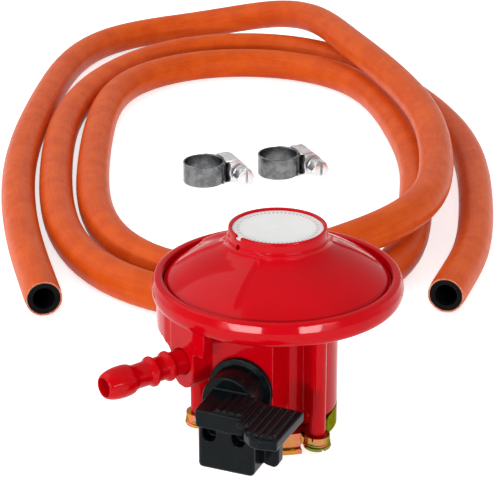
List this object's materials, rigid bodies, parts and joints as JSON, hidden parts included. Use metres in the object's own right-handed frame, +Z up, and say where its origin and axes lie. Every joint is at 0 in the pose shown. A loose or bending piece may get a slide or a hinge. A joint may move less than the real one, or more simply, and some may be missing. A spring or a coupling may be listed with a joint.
{
  "type": "propane regulator hose",
  "caption": "Clip-on low pressure gas regulator with switch lever and hose tail, with its loose coiled gas hose and worm drive clips.",
  "frame": {"origin": "on the socket's axis, in the face that the regulator stands on", "axes": "+Z up along the socket's axis, -Y toward the front where the switch is, +X to the right seen from there"},
  "size_m": [0.2079, 0.4986, 0.068],
  "materials": {
    "body_paint": "glossy red stove enamel",
    "label": "satin white",
    "plug_metal": "turned",
    "spring_steel": "drawn wire",
    "black_rubber": "matt",
    "plate_steel": "pressed and zinc plated",
    "brass": "turned",
    "gold_plate": "yellow zinc plated",
    "lever_plastic": "satin black",
    "hose_rubber": "orange, slightly dull",
    "clip_steel": "bright zinc plated"
  },
  "bodies": {
    "casing": {"lower_body": "body_paint", "dome_cover": "body_paint", "label_plate": "label", "adjusting_plug": "plug_metal", "main_spring": "spring_steel", "diaphragm": "black_rubber", "rocker_pin": "spring_steel", "inlet_jet": "brass", "plunger_spring": "spring_steel", "inlet_seal": "black_rubber", "latch_balls": "spring_steel", "base_cup": "gold_plate", "foot_screws": "gold_plate", "outlet_nozzle": "body_paint", "hub_bezel": "lever_plastic", "shaft_seal": "black_rubber", "hose_tube": "hose_rubber", "hose_end_left": "hose_rubber", "hose_end_right": "hose_rubber", "left_clip_band": "clip_steel", "left_clip_housing": "clip_steel", "right_clip_band": "clip_steel", "right_clip_housing": "clip_steel"},
    "switch": {"switch_lever": "lever_plastic", "switch_shaft": "brass", "shaft_circlip": "spring_steel"},
    "plunger": {"inlet_plunger": "brass"},
    "diaphragm_plates": {"upper_plate": "plate_steel", "lower_plate": "plate_steel", "diaphragm_stem": "brass", "stem_nut": "brass"},
    "rocker": {"rocker_lever": "plate_steel", "valve_pad": "black_rubber"},
    "left_screw": {"left_clip_screw": "clip_steel"},
    "right_screw": {"right_clip_screw": "clip_steel"}
  },
  "joints": [
    {"name": "switch_turn", "type": "hinge", "parent": "casing", "child": "switch", "pos_m": [-0.01393, -0.03536, 0.025], "axis": [-0.3665, -0.9304, 0], "range_deg": [0, 90]},
    {"name": "plunger_push", "type": "slide", "parent": "casing", "child": "plunger", "axis": [0, 0, 1], "range_m": [-0.0025, 0], "deforming": ["plunger_spring"]},
    {"name": "diaphragm_lift", "type": "slide", "parent": "casing", "child": "diaphragm_plates", "axis": [0, 0, 1], "range_m": [-0.001, 0.001], "stiffness_N_per_m": 800, "deforming": ["main_spring", "diaphragm"]},
    {"name": "rocker_tilt", "type": "hinge", "parent": "casing", "child": "rocker", "pos_m": [0.006, 0, 0.0385], "axis": [0, 1, 0], "range_deg": [-9.6, 9.6]},
    {"name": "left_screw_turn", "type": "hinge", "parent": "casing", "child": "left_screw", "pos_m": [-0.01976, 0.21945, 0.0051], "axis": [0.4067, -0.9135, 0], "continuous": true},
    {"name": "right_screw_turn", "type": "hinge", "parent": "casing", "child": "right_screw", "pos_m": [0.01224, 0.22945, 0.0051], "axis": [0.4067, -0.9135, 0], "continuous": true}
  ],
  "couplings": [
    {"joint": "plunger_push", "follows": "switch_turn", "m_per_rad": -0.0015915},
    {"joint": "rocker_tilt", "follows": "diaphragm_lift", "rad_per_m": 166.67}
  ]
}
